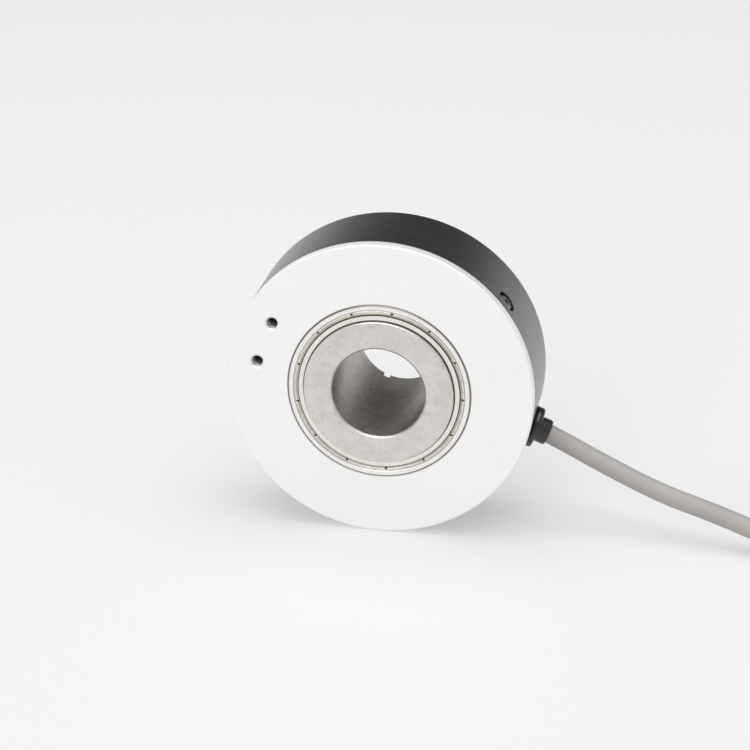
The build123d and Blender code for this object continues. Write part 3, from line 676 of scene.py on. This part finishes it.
def coloured_leads():
    """The five leads that fan out of the cable's end along the coil's top, with tinned tips."""
    end = Vector(coil_point(COIL_END))
    ahead = (end - Vector(coil_point(COIL_END - COIL_STEP))).normalized()
    side = ahead.cross(Vector((0.0, 0.0, 1.0))).normalized()
    above = side.cross(ahead)
    end_angle = COIL_END % 360
    tinned = satin_metal("tinned copper", 0.72, 0.6, WARM, 0.3, "BANDS", 2.0, 0.2)
    pieces = []
    for i, (name, level, tint) in enumerate(LEAD_TINTS):
        turn = math.radians(90 + i * 360 / len(LEAD_TINTS))
        start = end + LEAD_PITCH_R * (side * math.cos(turn) + above * math.sin(turn))
        across = LEAD_SPREAD * (i - (len(LEAD_TINTS) - 1) / 2)
        route = [start - ahead * LEAD_INSET, start + ahead * LEAD_STRAIGHT]
        for spread, on, lift in LEAD_FAN:
            place = round_coil(TOP_R + across * spread, end_angle + on, LEAD_Z + lift)
            route.append(Vector(place))
        last_angle = end_angle + LEAD_REACH - LEAD_STAGGER * (i % 2)
        route.append(Vector(round_coil(TOP_R + across, last_angle, LEAD_Z)))
        look = polymer(f"{name} insulation", level, level * 0.85, tint, 0.36, grain=1.5, depth=0.004)
        pieces.append(smooth_tube(f"lead_{name}", route, LEAD_R, look))
        out = (route[-1] - route[-2]).normalized()
        tip = [route[-1] + out * step for step in TIP_STEPS]
        pieces.append(smooth_tube(f"lead_{name}_tip", tip, TIP_R, tinned, TIP_TAPER))
    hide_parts("lead_wires")
    return pieces


def cable_curve(look):
    """The whole cable as one smooth spline, from the grommet through the coil to its end."""
    exit_angle = math.radians(EXIT_ANGLE)
    exit_point = on_axis(EXIT_R, exit_angle, EXIT_Y)
    start = on_axis(START_R, exit_angle, EXIT_Y)
    coil = [coil_point(a) for a in range(COIL_START + COIL_STEP, COIL_END + 1, COIL_STEP)]
    route = [start, exit_point] + CABLE_ROUTE + coil
    piece = smooth_tube("cable_whole", route, CABLE_R, look)
    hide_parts("cable", "cable_coil", "cable_tail")
    [NODES["cable_end_sleeve"]] + coloured_leads()


# ---------------------------------------------------------------- looks of the CAD nodes

def dress(names, look):
    """Gives CAD nodes one look."""
    for name in names:
        node = NODES[name]
        node.data.materials.clear()
        node.data.materials.append(look.material)


def bearing_nodes(part):
    """The names of both bearings' nodes for one of their parts."""
    return [f"{end}_bearing_{part}" for end in ("front", "rear")]


def dress_cad():
    """Gives every CAD node that stays its look."""
    dress(["front_flange"], flange_face())
    dress(["rear_cover"], black_cover())
    dress(["hollow_shaft"], shaft_metal())
    dress(["disc_hub", "disc_retainer"], satin_metal("hub aluminium", 0.8, 0.7, COOL, 0.33))
    dress(["bearing_spacer"], satin_metal("spacer steel", 0.6, 0.5, WARM, 0.35, "BANDS"))
    dress(["clamp_ring"], satin_metal("clamp steel", 0.66, 0.55, WARM, 0.32, "RINGS", 4.0, 0.3))
    spring_steel = satin_metal("spring steel", 0.22, 0.15, BROWN, 0.42, "RINGS", 5.0, 0.4)
    dress(["bearing_circlip", "shaft_circlip"], spring_steel)
    dress(bearing_nodes("outer_ring"), ring_metal("outer ring steel", 0.86, PINK, line_r=27.1))
    dress(bearing_nodes("inner_ring"), ring_metal("inner ring steel", 0.80, STRAW, gap_r=22.85))
    dress(bearing_nodes("balls"), satin_metal("ball steel", 0.8, 0.75, COOL, 0.08, "RINGS", 3.0, 0.0))
    dress(bearing_nodes("cage"), satin_metal("cage steel", 0.6, 0.5, WARM, 0.34))
    dress(bearing_nodes("back_shield") + ["rear_bearing_front_shield"], shield_metal())
    black_screw = satin_metal("black screw", 0.34, 0.24, WARM, 0.34, "RINGS", 3.0, 0.35)
    dress(["cover_screws", "clamp_ring_screw"], black_screw)
    small_screw = satin_metal("small screw", 0.62, 0.5, WARM, 0.3)
    dress(["disc_screws", "holder_screws", "board_screws"], small_screw)
    dress(["board_posts"], satin_metal("brass post", 0.6, 0.5, BRASS, 0.3, "BANDS"))
    rubber = polymer("black rubber", 0.02, 0.03, WARM, 0.6, grain=1.2)
    dress(["cover_o_ring", "dust_seal", "cable_end_sleeve"], rubber)
    black_plastic = polymer("black plastic", 0.02, 0.028, COOL, 0.42, grain=1.5)
    dress(["light_source_holder", "light_sensor", "board_chips"], black_plastic)
    dress(["lead_socket", "cable_tie"], polymer("white plastic", 0.72, 0.66, WARM, 0.4, spots=0.3))
    board = polymer("board green", 0.11, 0.08, BOARD_GREEN, 0.3, coat=0.4, grain=0.6)
    dress(["circuit_board"], board)
    dress(["light_source", "reticle"], glassy("clear resin", COOL))
    dress(["code_disc"], code_disc_glass())
    inner_lead = polymer("inner lead insulation", 0.3, 0.24, RED, 0.36, grain=1.5, depth=0.004)
    dress(["inner_leads"], inner_lead)


# ---------------------------------------------------------------- studio

SKY = 0.66
SKY_REAR = 0.05
# between which shares of a direction the sky dims, to the rear and upwards
SKY_FADES = [("Y", 0.2, 0.85), ("Z", 0.05, 0.32)]
# how strongly the floor glows: painted light
FLOOR_GLOW = 0.42
FLOOR_REACH = 6.0
# name, place and width in metres, power in watts
SOFTBOXES = [
    ("overhead", (0.0, 0.0, 1.5), 1.6, 18.5),
    ("front", (-0.4, -1.3, 0.8), 0.9, 7.0),
]


def floor():
    """A wide pale floor, faintly uneven in its tone; its even glow is painted light that keeps the shadows
    light.
    """
    look = Look("pale floor", specular=0.25)
    cloud = look.noise(0.004, 4.0, 0.6)
    look.colour(look.mix(cloud, grey(0.385), grey(0.375)))
    # painted light: the floor glows evenly though it is no lamp, which lifts its shadows
    look.shader.inputs["Emission Color"].default_value = grey(1.0)
    look.shader.inputs["Emission Strength"].default_value = FLOOR_GLOW
    look.rough(look.remap(look.noise(0.3, 4.0), 0.3, 0.7, 0.6, 0.75))
    look.bump(look.noise(0.8, 4.0), 0.01)
    mesh = bpy.data.meshes.new("floor")
    corners = [(x, y, FLOOR_Z * MM) for x, y in ((-1, -1), (1, -1), (1, 1), (-1, 1))]
    corners = [(x * FLOOR_REACH, y * FLOOR_REACH, z) for x, y, z in corners]
    mesh.from_pydata(corners, [], [(0, 1, 2, 3)])
    mesh.materials.append(look.material)
    ground = bpy.data.objects.new("floor", mesh)
    bpy.context.scene.collection.objects.link(ground)


def softbox(name, place, width, power):
    """A square area light at place, turned towards the object."""
    light = bpy.data.lights.new(name, "AREA")
    light.shape = "SQUARE"
    light.size = width
    light.energy = power
    lamp = bpy.data.objects.new(name, light)
    lamp.location = place
    lamp.rotation_euler = (-Vector(place)).to_track_quat("-Z", "Y").to_euler()
    bpy.context.scene.collection.objects.link(lamp)


def light_studio():
    """A white sky that is dimmer to the rear above the horizon, and the softboxes."""
    world = bpy.data.worlds.new("studio")
    world.use_nodes = True
    nodes, links = world.node_tree.nodes, world.node_tree.links
    towards = nodes.new("ShaderNodeSeparateXYZ")
    links.new(nodes.new("ShaderNodeTexCoord").outputs["Generated"], towards.inputs[0])
    shares = []
    for axis, low, high in SKY_FADES:
        share = nodes.new("ShaderNodeMapRange")
        share.inputs["From Min"].default_value = low
        share.inputs["From Max"].default_value = high
        links.new(towards.outputs[axis], share.inputs["Value"])
        shares.append(share.outputs["Result"])
    dim = nodes.new("ShaderNodeMath")
    dim.operation = "MULTIPLY"
    links.new(shares[0], dim.inputs[0])
    links.new(shares[1], dim.inputs[1])
    strength = nodes.new("ShaderNodeMapRange")
    strength.inputs["To Min"].default_value = SKY
    strength.inputs["To Max"].default_value = SKY_REAR
    links.new(dim.outputs[0], strength.inputs["Value"])
    background = nodes["Background"]
    background.inputs["Color"].default_value = (1.0, 1.0, 1.0, 1.0)
    links.new(strength.outputs["Result"], background.inputs["Strength"])
    bpy.context.scene.world = world
    for box in SOFTBOXES:
        softbox(*box)


def set_camera():
    """Looks down at the object from the front, a little to its right."""
    azimuth = math.radians(CAMERA_AZIMUTH)
    elevation = math.radians(CAMERA_ELEVATION)
    right = Vector((math.cos(azimuth), math.sin(azimuth), 0.0))
    ahead = Vector(
        (
            -math.sin(azimuth) * math.cos(elevation),
            math.cos(azimuth) * math.cos(elevation),
            -math.sin(elevation),
        )
    )
    up = right.cross(ahead)
    camera_data = bpy.data.cameras.new("camera")
    camera_data.lens = CAMERA_LENS
    camera_data.sensor_width = CAMERA_SENSOR
    camera_data.clip_start = CAMERA_NEAR
    camera = bpy.data.objects.new("camera", camera_data)
    turn = Matrix((right, up, -ahead)).transposed().to_4x4()
    place = -(right * CAMERA_RIGHT - up * CAMERA_UP + ahead * CAMERA_DISTANCE)
    camera.matrix_world = Matrix.Translation(place) @ turn
    bpy.context.scene.collection.objects.link(camera)
    bpy.context.scene.camera = camera


set_camera()
dress_cad()
jacket = polymer("cable jacket", 0.345, 0.32, JACKET, 0.5, 0.4, grain=0.7, depth=0.012, spots=0.25)
cable_curve(jacket)
crimped_shield()
moulded_grommet(polymer("grommet rubber", 0.010, 0.015, COOL, 0.24, 0.6, 0.25, 2.2, 0.002))
thread_look = satin_metal("thread", 0.62, 0.5, COOL, 0.24, "BANDS", 3.0, 0.2)
for hole_name, hole_angle in ARM_HOLES:
    tapped_thread(hole_name, hole_angle, thread_look)
floor()
light_studio()
bpy.context.scene.view_settings.view_transform = "Standard"
